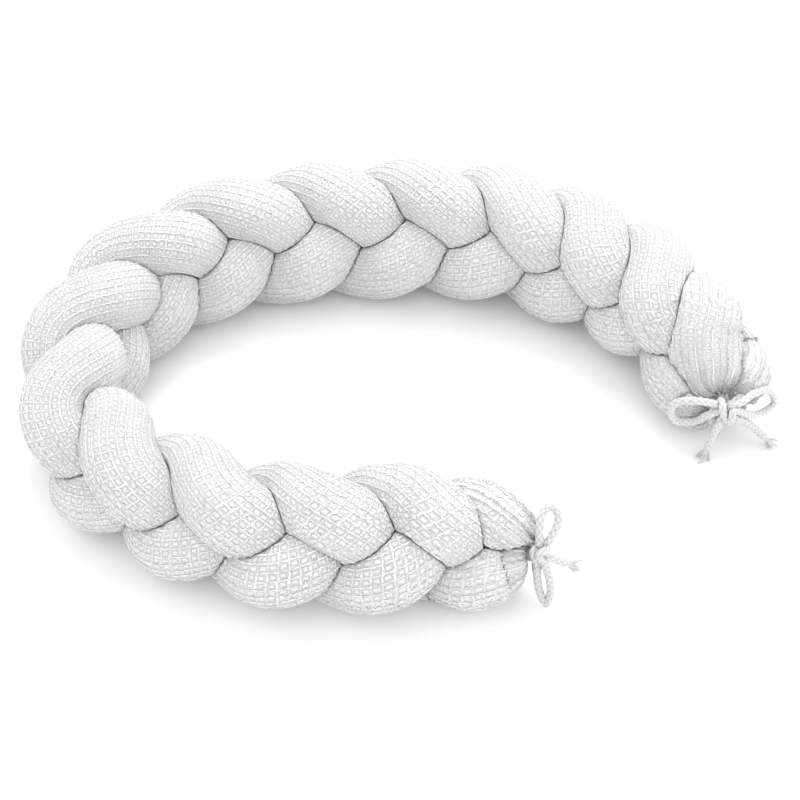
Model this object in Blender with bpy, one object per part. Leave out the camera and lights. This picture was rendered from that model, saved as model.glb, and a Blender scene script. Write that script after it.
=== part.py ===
"""A plaited crib bumper: three filled tubes of waffle cotton, laid in a C, with a cord bow at each end.

The tables hold millimetres and degrees, and what is built is in metres. +Z is up, and the origin is on
the floor, below the middle of the plait's box. The plait turns over on its way round the C, so that one
of its two edges stays on top the whole way. Its far end is where the table of sections starts.
"""

import math
from typing import NamedTuple

import bmesh
import bpy
import numpy as np

MM = 0.001
TURN = 2.0 * math.pi
TINY = 1e-9
WELD = 0.001 * MM
UP = np.array([0.0, 0.0, 1.0])


class Section(NamedTuple):
    """The plait at one place along it, in millimetres and degrees."""

    x: float
    y: float
    height: float  # of the plait's middle over the floor
    roll: float  # how far the plait is turned from lying flat, towards the inside of the C
    pitch: float  # from one bulge of an edge to the next
    swing: float  # how far a strand's middle swings out to each edge
    lift: float  # how far it rises and dips as it passes over and under
    radius: float  # of a strand's free side


SECTIONS = (
    Section(311, -58, 48, 96, 79, 29, 22, 38),
    Section(267, 51, 68, 90, 81, 27, 18, 38),
    Section(192, 129, 67, 81, 89, 31, 20, 39),
    Section(85, 174, 70, 63, 94, 35, 21, 37),
    Section(-33, 182, 66, 57, 97, 37, 20, 36),
    Section(-148, 166, 66, 58, 96, 35, 19, 36),
    Section(-247, 111, 67, 68, 94, 34, 18, 35),
    Section(-300, 20, 65, 80, 93, 34, 17, 35),
    Section(-292, -104, 64, 94, 95, 33, 18, 35),
    Section(-206, -177, 63, 103, 96, 30, 19, 35),
    Section(-101, -217, 63, 122, 88, 29, 19, 35),
    Section(24, -217, 58, 134, 86, 31, 20, 35),
    Section(121, -220, 45, 159, 89, 33, 20, 35),
)
MIDDLE = (-1.4, -16.7)  # x and y of the middle of the plait's box, before it is moved to the origin
FIRST_BULGE = 64 * MM  # along the plait, from the far end to the first bulge of its upper edge

# Strands
STRAND_COUNT = 3
PLAIT_SAMPLES = 1400
SEARCH_STEP = 6  # every sixth sample of the other strands' middles is compared
SEARCH_REACH = 150 * MM
STRAND_RINGS = 116
END_RINGS = 0.08  # share of the rings that stand closer together at each end
END_SHARE = 0.045  # share of the strand's samples that they cover
STRAND_SIDES = 20
CONTACT_GAP = 3.2 * MM
SEAM_ROUNDING = 8 * MM

# Tied ends
UNWEAVE_LENGTH = 86 * MM  # over which the strands draw together
DRAWN_IN = 0.2  # share of their swing that is left at the tie
GATHER_LENGTH = 46 * MM  # over which a strand rounds off into the neck
NECK_LENGTH = 12 * MM
NECK_RADIUS = 5 * MM
PULL_LENGTH = 115.0  # from an end, in millimetres, to where nothing is pulled aside any more
PULL_MARGIN = 26.0  # a further row of nothing, which makes the pulls fade out level

# Tie cords
CORD_RADIUS = 3.8 * MM
CORD_STEP = 6 * MM
KNOT_RADIUS = 9 * MM
INSIDE_KNOT = 0.35  # where a loop or tail starts, as a share of the way from the knot's middle
TUFT_LENGTH = 12 * MM  # of the frayed end of a tail
TUFT_SPREAD = 1.6  # radius of the frayed end, in cord radii
WRAP_LONG = 19 * MM  # half width of the wrap round the necks
WRAP_SHORT = 18.5 * MM
WRAP_TURN = 58.0  # degrees from level to its long way
WRAP_OUT = -1 * MM
WRAP_POINTS = 24
WRAP_RISE = 4  # the higher, the later the wrap leaves its round for the knot


class Spot(NamedTuple):
    """A place on a tie, in millimetres from the end of the plait's middle line."""

    out: float  # away from the plait, level
    across: float  # level, to the left when looking out from the plait
    up: float


class Pull(NamedTuple):
    """How far a strand's middle is pulled aside at a place near an end, in millimetres."""

    distance: float  # from the end, along the plait
    out: float
    across: float
    up: float


FAR_PULLS = (
    (Pull(0, 0, -1, 6), Pull(14, -2, 3, 3), Pull(32, -7, 11, 5), Pull(58, -17, 10, 8), Pull(84, -12, -3, 5)),
    (Pull(0, 0, -8, -9), Pull(14, 3, -9, -12), Pull(32, 3, -12, -17), Pull(58, 10, -5, -8), Pull(84, 10, 3, 3)),
    (Pull(0, 0, 8, 1), Pull(14, 2, 8, 5), Pull(32, 4, 15, 13), Pull(58, 7, 7, 9), Pull(84, 8, 7, 4)),
)
NEAR_PULLS = (
    (Pull(0, 0, -8, 2), Pull(14, -1, -10, 2), Pull(32, -4, -6, -6), Pull(58, 4, 6, -9), Pull(84, 10, 11, -1)),
    (Pull(0, 0, 0, -1), Pull(14, 1, -3, -1), Pull(32, -2, -8, 10), Pull(58, -3, -10, 15), Pull(84, -6, -6, 2)),
    (Pull(0, 0, 8, -2), Pull(14, -2, 6, -6), Pull(32, -2, 6, -6), Pull(58, -4, 2, 1), Pull(84, -6, -4, -2)),
)


class Tie(NamedTuple):
    """A cord round the gathered end of the plait, and the bow that it ends in."""

    knot: Spot
    loops: tuple[tuple[Spot, ...], ...]
    tails: tuple[tuple[Spot, ...], ...]


FAR_TIE = Tie(
    knot=Spot(9.5, -9, 13),
    loops=(
        (
            Spot(7, -20, 22), Spot(2, -33, 32), Spot(-4, -42, 31), Spot(-11, -51, 21), Spot(-16, -52, 3),
            Spot(-17, -44, -14), Spot(-14, -35, -20), Spot(-8, -29, -13), Spot(-1, -21, 0), Spot(6, -16, 13),
        ),
        (
            Spot(8, 1, 14), Spot(7, 10, 19), Spot(4, 24, 22), Spot(0, 38, 14), Spot(-4, 53, -3),
            Spot(-5, 56, -20), Spot(-3, 44, -23), Spot(2, 26, -12), Spot(8, 5, 6),
        ),
    ),
    tails=(
        (Spot(8, -14, 6), Spot(9, -18, -9), Spot(10, -20, -24), Spot(10, -22, -36), Spot(13, -29, -41)),
        (Spot(9, 5, -3), Spot(10, 18, -14), Spot(11, 32, -28), Spot(13, 43, -41), Spot(25, 47, -41)),
    ),
)
NEAR_TIE = Tie(
    knot=Spot(1, -17, 23),
    loops=(
        (
            Spot(2, -14, 33), Spot(1, -9, 41), Spot(-1, -1, 48), Spot(2, 6, 50), Spot(8, 10, 50),
            Spot(14, 7, 48), Spot(16, 0, 42), Spot(14, -7, 34), Spot(9, -14, 26),
        ),
        (
            Spot(-1, -18, 8), Spot(-1, -20, -8), Spot(3, -23, -25), Spot(6, -26, -38), Spot(9, -28, -42),
            Spot(13, -26, -35), Spot(11, -23, -20), Spot(8, -20, -6), Spot(4, -18, 8),
        ),
    ),
    tails=((Spot(7, -16, 12), Spot(17, -13, 5), Spot(27, -9, -7), Spot(36, -4, -22), Spot(45, 1, -36)),),
)

WAFFLE_COLOUR = (0.86, 0.85, 0.83)
CORD_COLOUR = (0.90, 0.89, 0.87)
CLOTH_ROUGHNESS = 0.9


def clear_scene() -> None:
    """Remove every object that the scene starts with."""
    for thing in list(bpy.data.objects):
        bpy.data.objects.remove(thing, do_unlink=True)


def cloth_material(name: str, colour: tuple[float, float, float]) -> bpy.types.Material:
    """A plain matt cloth colour."""
    material = bpy.data.materials.new(name)
    material.use_nodes = True
    shader = material.node_tree.nodes["Principled BSDF"]
    shader.inputs["Base Color"].default_value = (*colour, 1.0)
    shader.inputs["Roughness"].default_value = CLOTH_ROUGHNESS
    shader.inputs["Metallic"].default_value = 0.0
    return material


def unit(vectors: np.ndarray) -> np.ndarray:
    """The same directions with length one."""
    return vectors / np.linalg.norm(vectors, axis=-1, keepdims=True)


def along(points: np.ndarray) -> np.ndarray:
    """The distance of each point from the first one, measured along the line."""
    steps = np.linalg.norm(np.diff(points, axis=0), axis=1)
    return np.concatenate([[0.0], np.cumsum(steps)])


def smooth_rows(at: np.ndarray, rows: np.ndarray, wanted: np.ndarray) -> np.ndarray:
    """Read a table between its rows, on a smooth cubic curve through them."""
    slope = np.gradient(rows, at, axis=0)
    i = np.clip(np.searchsorted(at, wanted) - 1, 0, len(at) - 2)
    width = (at[i + 1] - at[i])[:, None]
    t = (wanted - at[i])[:, None] / width
    start = (2 * t**3 - 3 * t**2 + 1) * rows[i] + (t**3 - 2 * t**2 + t) * width * slope[i]
    end = (3 * t**2 - 2 * t**3) * rows[i + 1] + (t**3 - t**2) * width * slope[i + 1]
    return start + end


def smooth_route(points: np.ndarray, step: float) -> np.ndarray:
    """Points about one step apart on a smooth curve through a route's own points."""
    at = along(points)
    fine = smooth_rows(at, points, np.linspace(0.0, at[-1], 40 * len(points)))
    length = along(fine)
    count = max(3, round(length[-1] / step) + 1)
    even = np.linspace(0.0, length[-1], count)
    return np.stack([np.interp(even, length, fine[:, axis]) for axis in range(3)], axis=1)


class Plait(NamedTuple):
    """The plait worked out at even steps along its length, in metres."""

    distance: np.ndarray
    middle: np.ndarray
    ahead: np.ndarray
    across: np.ndarray  # from the middle to the upper edge
    front: np.ndarray  # out of the face that looks up when the plait lies flat
    size: np.ndarray  # the table's columns


def plait_axis() -> Plait:
    """Sweep the table of sections into an even, smooth plait."""
    table = np.array(SECTIONS, dtype=float)
    table[:, 0] -= MIDDLE[0]
    table[:, 1] -= MIDDLE[1]
    at = along(table[:, :3])
    fine_at = np.linspace(0.0, at[-1], 2 * PLAIT_SAMPLES)
    length = along(smooth_rows(at, table[:, :3], fine_at))
    distance = np.linspace(0.0, length[-1], PLAIT_SAMPLES)
    size = smooth_rows(at, table, np.interp(distance, length, fine_at))
    middle = size[:, :3] * MM
    ahead = unit(np.gradient(middle, axis=0))
    inward = unit(np.cross(UP, ahead))
    above = np.cross(ahead, inward)
    roll = np.radians(size[:, 3])[:, None]
    front = np.cos(roll) * above + np.sin(roll) * inward
    across = np.sin(roll) * above - np.cos(roll) * inward
    return Plait(distance * MM, middle, ahead, across, front, size)


def from_nearer_end(plait: Plait) -> np.ndarray:
    """How far each section is from the nearer end of the plait."""
    return np.minimum(plait.distance, plait.distance[-1] - plait.distance)


class EndFrame(NamedTuple):
    """Where an end of the plait is, and which way it points."""

    start: np.ndarray
    out: np.ndarray
    across: np.ndarray


def end_frame(plait: Plait, far: bool) -> EndFrame:
    """The frame that a tie's spots are measured in."""
    end, way = (0, -1.0) if far else (-1, 1.0)
    out = unit(way * plait.ahead[end] * (1.0, 1.0, 0.0))
    return EndFrame(plait.middle[end], out, np.cross(UP, out))


def strand_middles(plait: Plait) -> list[np.ndarray]:
    """The middle line of each strand, weaving from edge to edge and over and under."""
    pitch = plait.size[:, 4] * MM
    steps = np.diff(plait.distance) * 2.0 / (pitch[1:] + pitch[:-1])
    bulges = np.concatenate([[0.0], np.cumsum(steps)])
    bulges -= np.interp(FIRST_BULGE, plait.distance, bulges)
    woven = np.clip(from_nearer_end(plait) / UNWEAVE_LENGTH, 0.0, 1.0)
    share = DRAWN_IN + (1.0 - DRAWN_IN) * woven * woven * (3.0 - 2.0 * woven)
    lines = []
    for strand in range(STRAND_COUNT):
        phase = TURN * (0.25 + (bulges + strand) / STRAND_COUNT)
        swing = plait.size[:, 5] * MM * share * np.sin(phase)
        lift = plait.size[:, 6] * MM * share * np.sin(2.0 * phase)
        lines.append(plait.middle + swing[:, None] * plait.across + lift[:, None] * plait.front)
    return lines


def pulled_aside(plait: Plait, lines: list[np.ndarray]) -> list[np.ndarray]:
    """The strands' middle lines with their last bulges brought round to the knots."""
    from_far = plait.distance / MM
    moved = [line.copy() for line in lines]
    for far, table, distance in ((True, FAR_PULLS, from_far), (False, NEAR_PULLS, from_far[-1] - from_far)):
        frame = end_frame(plait, far)
        near = distance < PULL_LENGTH
        for line, pulls in zip(moved, table):
            still = [Pull(PULL_LENGTH, 0, 0, 0), Pull(PULL_LENGTH + PULL_MARGIN, 0, 0, 0)]
            rows = np.array([*pulls, *still], dtype=float)
            out, across, up = smooth_rows(rows[:, 0], rows[:, 1:], distance[near]).T * MM
            line[near] += out[:, None] * frame.out + across[:, None] * frame.across + up[:, None] * UP
    return moved


def free_radius(plait: Plait) -> np.ndarray:
    """A strand's radius where nothing presses on it, rounding off into the neck at each end."""
    inside = np.clip((from_nearer_end(plait) - NECK_LENGTH) / GATHER_LENGTH, 0.0, 1.0)
    dome = np.sqrt(1.0 - (1.0 - inside) ** 2)
    return NECK_RADIUS + (plait.size[:, 7] * MM - NECK_RADIUS) * dome


def pressed_radius(middle: np.ndarray, rays: np.ndarray, others: np.ndarray) -> np.ndarray:
    """How far each ray can go before it is half a gap short of halfway to another strand's middle."""
    offset = others - middle
    near = np.einsum("ij,ij->i", offset, offset) < SEARCH_REACH**2
    offset = offset[near]
    top = np.einsum("ij,ij->i", offset, offset) - CONTACT_GAP**2
    bottom = 2.0 * (rays @ offset.T + CONTACT_GAP)
    reach = np.where(bottom > TINY, top / np.maximum(bottom, TINY), SEARCH_REACH)
    return reach.min(axis=1)


def soft_minimum(first: np.ndarray, second: np.ndarray, rounding: float) -> np.ndarray:
    """The smaller of two lengths, with the change from one to the other rounded."""
    share = np.clip(0.5 + 0.5 * (second - first) / rounding, 0.0, 1.0)
    return second * (1.0 - share) + first * share - rounding * share * (1.0 - share)


def ring_places() -> np.ndarray:
    """Where a strand's rings stand, as shares of its length: closer together near the ends."""
    even = np.linspace(0.0, 1.0, STRAND_RINGS)
    return np.interp(even, (0.0, END_RINGS, 1.0 - END_RINGS, 1.0), (0.0, END_SHARE, 1.0 - END_SHARE, 1.0))


def strand_rings(lines: list[np.ndarray], strand: int, radius: np.ndarray) -> np.ndarray:
    """Rings of points round one strand, pressed flat by the other strands and by the floor."""
    line = lines[strand]
    picked = (ring_places() * (len(line) - 1)).round().astype(int)
    ahead = unit(np.gradient(line, axis=0))[picked]
    middles = line[picked]
    level = unit(np.cross(ahead, UP))
    upright = np.cross(ahead, level)
    angle = np.linspace(0.0, TURN, STRAND_SIDES, endpoint=False)[None, :, None]
    rays = np.cos(angle) * level[:, None] + np.sin(angle) * upright[:, None]
    others = np.concatenate([lines[k][::SEARCH_STEP] for k in range(STRAND_COUNT) if k != strand])
    pressed = np.stack([pressed_radius(m, r, others) for m, r in zip(middles, rays)])
    reach = soft_minimum(radius[picked][:, None], pressed, SEAM_ROUNDING)
    down = np.maximum(-rays[..., 2], TINY)
    reach = np.minimum(reach, middles[:, None, 2] / down)
    points = middles[:, None] + reach[..., None] * rays
    points[..., 2] = np.maximum(points[..., 2], 0.0)
    return points


def solid_object(name: str, mesh: bpy.types.Mesh) -> bpy.types.Object:
    """An object in the scene for a mesh."""
    thing = bpy.data.objects.new(name, mesh)
    bpy.context.collection.objects.link(thing)
    return thing


def tube_object(name: str, rings: np.ndarray, material: bpy.types.Material) -> bpy.types.Object:
    """A closed tube through rings of points, with a fan over each end."""
    count, sides, _ = rings.shape
    ends = np.stack([rings[0].mean(axis=0), rings[-1].mean(axis=0)])
    points = np.concatenate([rings.reshape(-1, 3), ends])
    first, last = count * sides, count * sides + 1
    faces = []
    for j in range(sides):
        k = (j + 1) % sides
        faces.append((first, k, j))
        faces.append((last, (count - 1) * sides + j, (count - 1) * sides + k))
        for i in range(count - 1):
            low, high = i * sides, (i + 1) * sides
            faces.append((low + j, low + k, high + k, high + j))
    mesh = bpy.data.meshes.new(name)
    mesh.from_pydata(points.tolist(), [], faces)
    mesh.materials.append(material)
    mesh.shade_smooth()
    return solid_object(name, mesh)


def build_strands(plait: Plait, material: bpy.types.Material) -> None:
    """The three filled tubes."""
    lines = pulled_aside(plait, strand_middles(plait))
    radius = free_radius(plait)
    for strand in range(STRAND_COUNT):
        tube_object(f"strand_{strand + 1}", strand_rings(lines, strand, radius), material)


def placed(frame: EndFrame, spots: tuple[Spot, ...]) -> np.ndarray:
    """A route's spots as points in the scene."""
    out, across, up = (np.array(spots, dtype=float) * MM).T
    return frame.start + out[:, None] * frame.out + across[:, None] * frame.across + up[:, None] * UP


def baked(source: bpy.types.Object) -> bpy.types.Mesh:
    """A curve or a mesh with its modifiers as one welded mesh."""
    graph = bpy.context.evaluated_depsgraph_get()
    mesh = bpy.data.meshes.new_from_object(source.evaluated_get(graph))
    shape = bmesh.new()
    shape.from_mesh(mesh)
    bmesh.ops.remove_doubles(shape, verts=shape.verts, dist=WELD)
    bmesh.ops.recalc_face_normals(shape, faces=shape.faces)
    shape.to_mesh(mesh)
    shape.free()
    return mesh


def cord_tube(name: str, points: np.ndarray, spread: np.ndarray, closed: bool = False) -> bpy.types.Object:
    """A round cord along its points, with its radius multiplied by the spread at each."""
    curve = bpy.data.curves.new(name, "CURVE")
    curve.dimensions = "3D"
    curve.bevel_depth = CORD_RADIUS
    curve.bevel_resolution = 2
    curve.use_fill_caps = True
    spline = curve.splines.new("POLY")
    spline.points.add(len(points) - 1)
    spline.points.foreach_set("co", np.column_stack([points, np.ones(len(points))]).ravel())
    spline.points.foreach_set("radius", spread)
    spline.use_cyclic_u = closed
    tube = solid_object(f"{name}_curve", curve)
    solid = solid_object(name, baked(tube))
    bpy.data.objects.remove(tube, do_unlink=True)
    return solid


def build_wrap(name: str, frame: EndFrame, knot: np.ndarray) -> bpy.types.Object:
    """The turn of cord round the necks, which rises to the knot."""
    around = np.linspace(0.0, TURN, WRAP_POINTS, endpoint=False)
    turned = math.radians(WRAP_TURN)
    long_way = WRAP_LONG * np.cos(around)
    short_way = WRAP_SHORT * np.sin(around)
    across = long_way * math.cos(turned) - short_way * math.sin(turned)
    up = long_way * math.sin(turned) + short_way * math.cos(turned)
    level = frame.start + WRAP_OUT * frame.out
    ring = level + across[:, None] * frame.across + up[:, None] * UP
    to_knot = np.array([(knot - frame.start) @ frame.across, knot[2] - frame.start[2]])
    facing = np.stack([across, up], axis=1) @ to_knot
    facing /= np.hypot(across, up) * np.hypot(*to_knot)
    share = np.maximum(facing, 0.0)[:, None] ** WRAP_RISE
    return cord_tube(name, ring * (1.0 - share) + knot * share, np.ones(WRAP_POINTS), closed=True)


def build_knot(name: str, knot: np.ndarray) -> bpy.types.Object:
    """The lump of the knot."""
    shape = bmesh.new()
    bmesh.ops.create_uvsphere(shape, u_segments=14, v_segments=9, radius=KNOT_RADIUS)
    bmesh.ops.translate(shape, verts=shape.verts, vec=knot)
    mesh = bpy.data.meshes.new(name)
    shape.to_mesh(mesh)
    shape.free()
    return solid_object(name, mesh)


def build_loop(name: str, knot: np.ndarray, spots: np.ndarray) -> bpy.types.Object:
    """A loop of the bow, out of the knot and back into it."""
    first = knot + INSIDE_KNOT * (spots[0] - knot)
    last = knot + INSIDE_KNOT * (spots[-1] - knot)
    points = smooth_route(np.vstack([first, spots, last]), CORD_STEP)
    return cord_tube(name, points, np.ones(len(points)))


def build_tail(name: str, knot: np.ndarray, spots: np.ndarray) -> bpy.types.Object:
    """A tail of the bow, opening out where it is frayed."""
    first = knot + INSIDE_KNOT * (spots[0] - knot)
    points = smooth_route(np.vstack([first, spots]), CORD_STEP)
    to_tip = along(points[::-1])[::-1]
    frayed = np.clip(1.0 - to_tip / TUFT_LENGTH, 0.0, 1.0)
    return cord_tube(name, points, 1.0 + (TUFT_SPREAD - 1.0) * frayed)


def build_tie(name: str, frame: EndFrame, tie: Tie, material: bpy.types.Material) -> None:
    """The wrap, knot, loops and tails of one tie, fused into one solid."""
    knot = placed(frame, (tie.knot,))[0]
    base = build_knot(f"{name}_knot", knot)
    pieces = [build_wrap(f"{name}_wrap", frame, knot)]
    pieces += [build_loop(f"{name}_loop_{i}", knot, placed(frame, spots)) for i, spots in enumerate(tie.loops)]
    pieces += [build_tail(f"{name}_tail_{i}", knot, placed(frame, spots)) for i, spots in enumerate(tie.tails)]
    for piece in pieces:
        union = base.modifiers.new(piece.name, "BOOLEAN")
        union.operation = "UNION"
        union.solver = "EXACT"
        union.use_self = True
        union.object = piece
    fused = solid_object(name, baked(base))
    fused.data.materials.clear()
    fused.data.materials.append(material)
    fused.data.shade_smooth()
    for piece in (base, *pieces):
        bpy.data.objects.remove(piece, do_unlink=True)


def main() -> None:
    """Build the whole bumper."""
    clear_scene()
    waffle = cloth_material("waffle_cotton", WAFFLE_COLOUR)
    cord = cloth_material("cotton_cord", CORD_COLOUR)
    plait = plait_axis()
    build_strands(plait, waffle)
    build_tie("tie_far", end_frame(plait, far=True), FAR_TIE, cord)
    build_tie("tie_near", end_frame(plait, far=False), NEAR_TIE, cord)


main()
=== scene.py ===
"""Looks for a plaited crib bumper: three stuffed waffle-cotton tubes in a C, with a cord bow at each end.

Sizes are in metres unless a name says otherwise. The section table, the pulls at the ends and the rules that
press the tubes together are those of the part's own source, worked out here on a much finer mesh. Each bow
goes round the same neck as in the source and through more spots, so that its knot is one whole cord.
"""

import logging
import math
from dataclasses import dataclass
from enum import Enum
from typing import NamedTuple

import bpy
import numpy as np
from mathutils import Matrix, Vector


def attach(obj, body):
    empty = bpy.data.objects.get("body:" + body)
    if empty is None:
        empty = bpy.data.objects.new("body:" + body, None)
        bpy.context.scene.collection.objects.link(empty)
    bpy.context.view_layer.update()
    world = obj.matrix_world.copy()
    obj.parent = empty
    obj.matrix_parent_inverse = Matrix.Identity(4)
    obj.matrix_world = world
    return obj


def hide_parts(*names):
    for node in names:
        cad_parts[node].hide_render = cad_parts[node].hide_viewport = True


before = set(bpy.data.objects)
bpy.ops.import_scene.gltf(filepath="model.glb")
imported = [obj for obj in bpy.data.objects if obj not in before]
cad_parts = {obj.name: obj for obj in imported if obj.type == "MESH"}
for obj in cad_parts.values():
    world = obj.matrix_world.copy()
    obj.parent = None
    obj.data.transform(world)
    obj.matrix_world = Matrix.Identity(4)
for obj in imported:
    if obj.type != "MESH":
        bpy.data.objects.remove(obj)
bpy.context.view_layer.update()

LOG = logging.getLogger("bumper")
MM = 0.001
TURN = 2.0 * math.pi
UP = np.array([0.0, 0.0, 1.0])
BODY = "root"


class Slot(Enum):
    """Material slots of the record."""

    WAFFLE = "waffle_cotton"
    CORD = "cotton_cord"


class Node(Enum):
    """CAD nodes that the pieces here stand for."""

    STRAND_1 = "strand_1"
    STRAND_2 = "strand_2"
    STRAND_3 = "strand_3"
    TIE_FAR = "tie_far"
    TIE_NEAR = "tie_near"


# ---------------------------------------------------------------- sizes shared with the part's source


class Section(NamedTuple):
    """The plait at one place along it, in millimetres and degrees."""

    x: float
    y: float
    height: float
    roll: float
    pitch: float
    swing: float
    lift: float
    radius: float


SECTIONS = (
    Section(311, -58, 48, 96, 79, 29, 22, 38),
    Section(267, 51, 68, 90, 81, 27, 18, 38),
    Section(192, 129, 67, 81, 89, 31, 20, 39),
    Section(85, 174, 70, 63, 94, 35, 21, 37),
    Section(-33, 182, 66, 57, 97, 37, 20, 36),
    Section(-148, 166, 66, 58, 96, 35, 19, 36),
    Section(-247, 111, 67, 68, 94, 34, 18, 35),
    Section(-300, 20, 65, 80, 93, 34, 17, 35),
    Section(-292, -104, 64, 94, 95, 33, 18, 35),
    Section(-206, -177, 63, 103, 96, 30, 19, 35),
    Section(-101, -217, 63, 122, 88, 29, 19, 35),
    Section(24, -217, 58, 134, 86, 31, 20, 35),
    Section(121, -220, 45, 159, 89, 33, 20, 35),
)
MIDDLE = (-1.4, -16.7)
FIRST_BULGE = 64 * MM
STRAND_COUNT = 3
PLAIT_SAMPLES = 1400
LINES_TO_A_CELL = 3
WRAP_SPOTS = 6
SOFTENED = 2.5
GOLDEN_TURN = 2.39996
CELLS_ROUND = 27
SLANT = 9 / CELLS_ROUND
GATHER_LAYER = "gathered"
SEARCH_STEP = 4
SEARCH_REACH = 150 * MM
UNWEAVE_LENGTH = 86 * MM
DRAWN_IN = 0.2
GATHER_LENGTH = 46 * MM
NECK_LENGTH = 12 * MM
NECK_RADIUS = 5 * MM
PULL_LENGTH = 115.0
PULL_MARGIN = 26.0
CORD_RADIUS = 3.8 * MM


class Spot(NamedTuple):
    """A place on a tie, in millimetres from the end of the plait's middle line."""

    out: float
    across: float
    up: float


class Pull(NamedTuple):
    """How far a strand's middle is pulled aside at a place near an end, in millimetres."""

    distance: float  # from the end, along the plait
    out: float
    across: float
    up: float


FAR_PULLS = (
    (
        Pull(0, 0, -1, 6), Pull(14, -2, 3, 3), Pull(32, -7, 11, 5),
        Pull(58, -17, 10, 8), Pull(84, -12, -3, 5),
    ),
    (
        Pull(0, 0, -8, -9), Pull(14, 3, -9, -12), Pull(32, 3, -12, -17),
        Pull(58, 10, -5, -8), Pull(84, 10, 3, 3),
    ),
    (
        Pull(0, 0, 8, 1), Pull(14, 2, 8, 5), Pull(32, 4, 15, 13),
        Pull(58, 7, 7, 9), Pull(84, 8, 7, 4),
    ),
)
NEAR_PULLS = (
    (
        Pull(0, 0, -8, 2), Pull(14, -1, -10, 2), Pull(32, -4, -6, -6),
        Pull(58, 4, 6, -9), Pull(84, 10, 11, -1),
    ),
    (
        Pull(0, 0, 0, -1), Pull(14, 1, -3, -1), Pull(32, -2, -8, 10),
        Pull(58, -3, -10, 15), Pull(84, -6, -6, 2),
    ),
    (
        Pull(0, 0, 8, -2), Pull(14, -2, 6, -6), Pull(32, -2, 6, -6),
        Pull(58, -4, 2, 1), Pull(84, -6, -4, -2),
    ),
)


# ---------------------------------------------------------------- curves and frames


def unit(vectors: np.ndarray) -> np.ndarray:
    """Scale directions to length one.

    Args:
        vectors: Directions, one in each row.

    Returns:
        The same directions with length one.
    """
    return vectors / np.maximum(np.linalg.norm(vectors, axis=-1, keepdims=True), 1e-12)


def along(points: np.ndarray) -> np.ndarray:
    """Measure along a line of points.

    Args:
        points: The line's points.

    Returns:
        The distance of each point from the first one.
    """
    steps = np.linalg.norm(np.diff(points, axis=0), axis=1)
    return np.concatenate([[0.0], np.cumsum(steps)])


def smooth_rows(at: np.ndarray, rows: np.ndarray, wanted: np.ndarray) -> np.ndarray:
    """Read a table between its rows, on a smooth cubic curve through them.

    Args:
        at: The place of each row.
        rows: The table.
        wanted: The places to read.

    Returns:
        One row for each wanted place.
    """
    slope = np.gradient(rows, at, axis=0)
    i = np.clip(np.searchsorted(at, wanted) - 1, 0, len(at) - 2)
    width = (at[i + 1] - at[i])[:, None]
    t = (wanted - at[i])[:, None] / width
    start = (2 * t**3 - 3 * t**2 + 1) * rows[i] + (t**3 - 2 * t**2 + t) * width * slope[i]
    end = (3 * t**2 - 2 * t**3) * rows[i + 1] + (t**3 - t**2) * width * slope[i + 1]
    return start + end


def smooth_route(points: np.ndarray, step: float) -> np.ndarray:
    """Follow a route's own points with a smooth curve.

    Args:
        points: The route's points.
        step: The distance wanted between two points of the result.

    Returns:
        Points about one step apart.
    """
    at = along(points)
    fine = smooth_rows(at, points, np.linspace(0.0, at[-1], 40 * len(points)))
    length = along(fine)
    count = max(3, round(length[-1] / step) + 1)
    even = np.linspace(0.0, length[-1], count)
    return np.stack([np.interp(even, length, fine[:, axis]) for axis in range(3)], axis=1)


def carried_frames(line: np.ndarray, first: np.ndarray) -> tuple[np.ndarray, np.ndarray]:
    """Carry a cross direction along a line without twisting it.

    Args:
        line: The line's points.
        first: A direction to start from.

    Returns:
        Two cross directions at each point, at right angles to each other and to the line.
    """
    ahead = unit(np.gradient(line, axis=0))
    side = np.zeros_like(line)
    side[0] = unit(first - (first @ ahead[0]) * ahead[0])
    for i in range(1, len(line)):
        carried = side[i - 1] - (side[i - 1] @ ahead[i]) * ahead[i]
        side[i] = carried / np.linalg.norm(carried)
    return side, np.cross(ahead, side)


class Plait(NamedTuple):
    """The plait worked out at even steps along its length."""

    distance: np.ndarray
    middle: np.ndarray
    ahead: np.ndarray
    across: np.ndarray
    front: np.ndarray
    size: np.ndarray


def plait_axis() -> Plait:
    """Sweep the table of sections into an even, smooth plait.

    Returns:
        The plait.
    """
    table = np.array(SECTIONS, dtype=float)
    table[:, 0] -= MIDDLE[0]
    table[:, 1] -= MIDDLE[1]
    at = along(table[:, :3])
    fine_at = np.linspace(0.0, at[-1], 2 * PLAIT_SAMPLES)
    length = along(smooth_rows(at, table[:, :3], fine_at))
    distance = np.linspace(0.0, length[-1], PLAIT_SAMPLES)
    size = smooth_rows(at, table, np.interp(distance, length, fine_at))
    middle = size[:, :3] * MM
    ahead = unit(np.gradient(middle, axis=0))
    inward = unit(np.cross(UP, ahead))
    above = np.cross(ahead, inward)
    roll = np.radians(size[:, 3])[:, None]
    front = np.cos(roll) * above + np.sin(roll) * inward
    across = np.sin(roll) * above - np.cos(roll) * inward
    return Plait(distance * MM, middle, ahead, across, front, size)


def from_nearer_end(plait: Plait) -> np.ndarray:
    """Measure how far each section is from the nearer end of the plait.

    Args:
        plait: The plait.

    Returns:
        One distance for each sample.
    """
    return np.minimum(plait.distance, plait.distance[-1] - plait.distance)


class EndFrame(NamedTuple):
    """Where an end of the plait is, and which way it points."""

    start: np.ndarray
    out: np.ndarray
    across: np.ndarray


def end_frame(plait: Plait, far: bool) -> EndFrame:
    """Work out the frame that a tie's spots are measured in.

    Args:
        plait: The plait.
        far: Whether it is the far end.

    Returns:
        The frame.
    """
    end, way = (0, -1.0) if far else (-1, 1.0)
    out = unit(way * plait.ahead[end] * (1.0, 1.0, 0.0))
    return EndFrame(plait.middle[end], out, np.cross(UP, out))


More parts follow.
